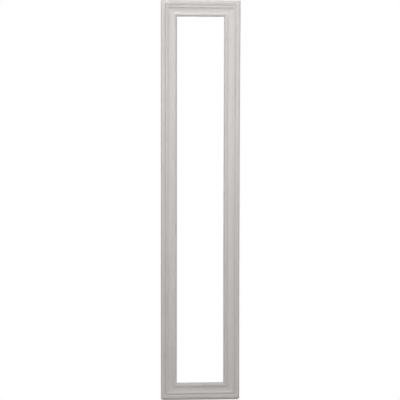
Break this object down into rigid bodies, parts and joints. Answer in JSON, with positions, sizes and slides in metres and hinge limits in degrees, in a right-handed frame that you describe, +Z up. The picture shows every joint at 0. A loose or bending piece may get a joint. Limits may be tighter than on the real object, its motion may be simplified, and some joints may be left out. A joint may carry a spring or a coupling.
{
  "type": "panel moulding frame",
  "caption": "Tall narrow rectangular frame of classical panel moulding, mitred corners and an open middle, flat at the back for fixing to a wall.",
  "frame": {"origin": "on the flat back, in the middle of the bottom rail", "axes": "+X to the frame's right seen from the front, +Y into the wall (the decorated front faces -Y), +Z up along the long side rails"},
  "size_m": [0.252, 0.016, 1.27],
  "materials": {
    "primed_white": "satin primer paint"
  },
  "bodies": {
    "root": {"panel_frame": "primed_white"}
  },
  "joints": []
}
